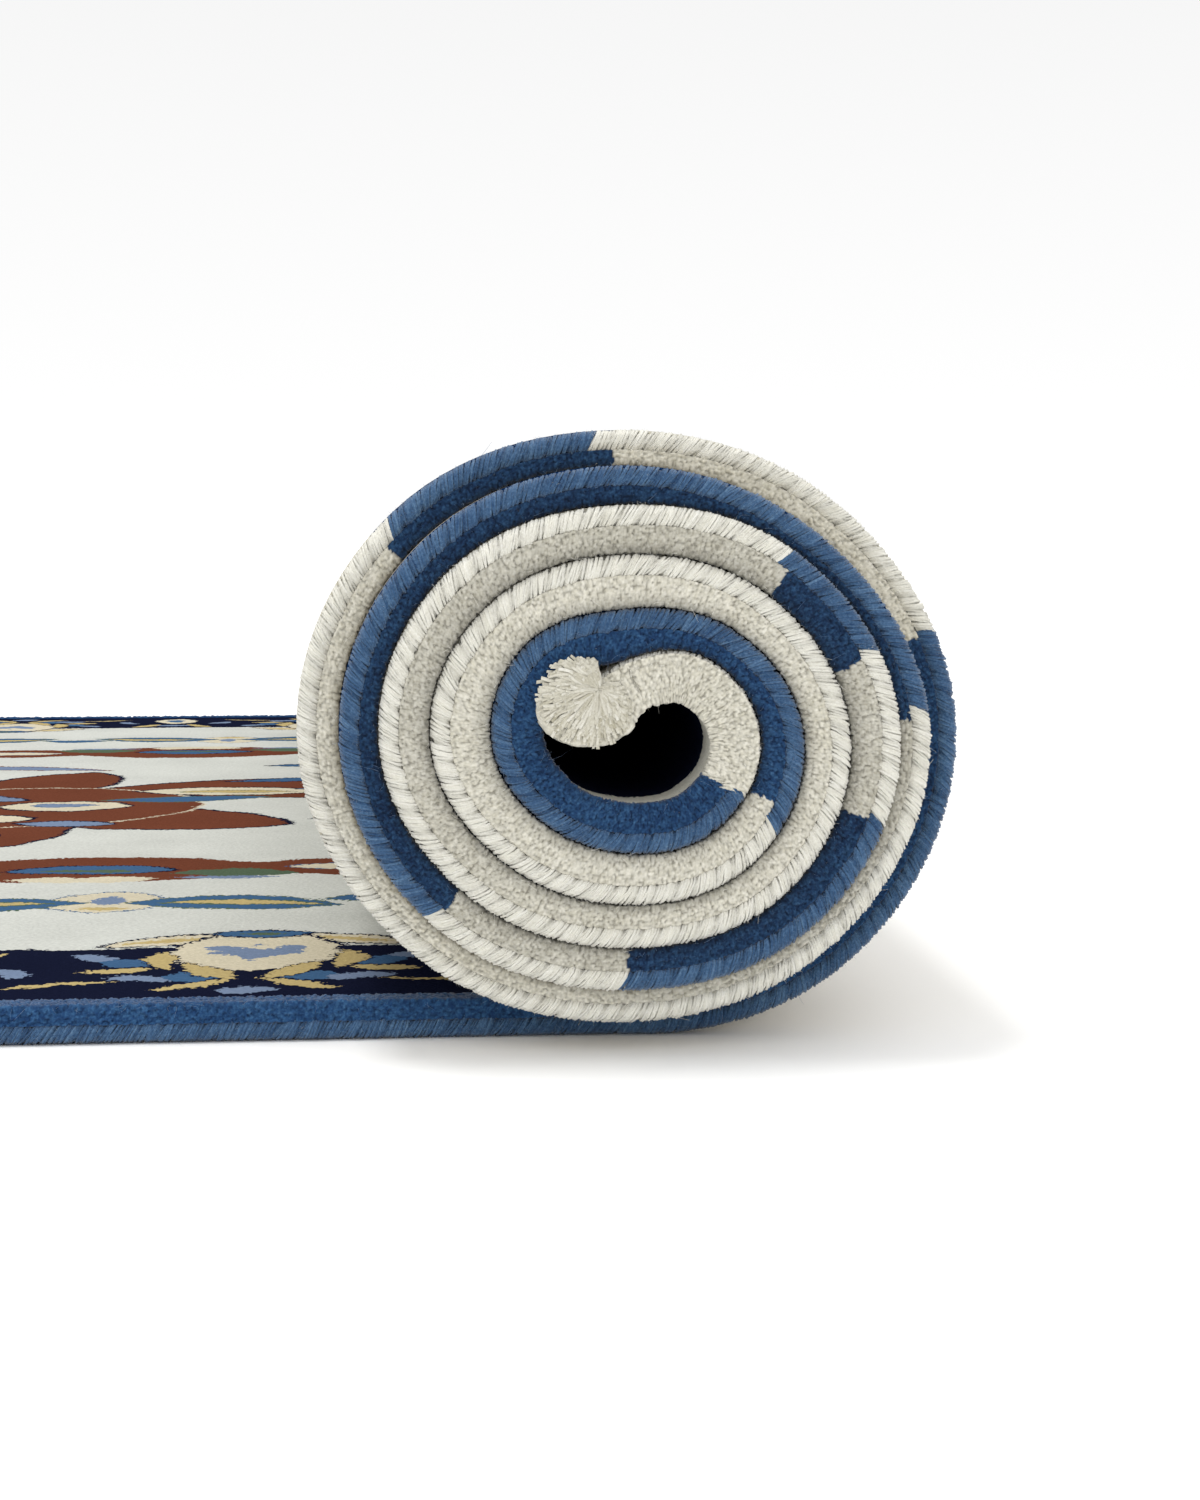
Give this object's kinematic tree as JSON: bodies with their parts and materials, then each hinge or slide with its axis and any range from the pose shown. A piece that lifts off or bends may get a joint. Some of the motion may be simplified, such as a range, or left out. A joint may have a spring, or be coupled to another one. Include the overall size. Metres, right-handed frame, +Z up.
{
  "type": "rolled up carpet",
  "caption": "Pile carpet rolled up with its pile inwards, its last stretch lying flat under and beside the roll.",
  "frame": {"origin": "on the floor, under the middle of the whole part", "axes": "+Y along the roll, away from the round end that is seen, +X across the roll, away from the loose stretch, +Z up"},
  "size_m": [0.7096, 1.24, 0.1938],
  "materials": {
    "wool_pile": "matt cut wool pile on a woven back",
    "wool_binding": "matt overcast wool yarn"
  },
  "bodies": {
    "root": {"carpet": "wool_pile", "edge_binding": "wool_binding"}
  },
  "joints": []
}
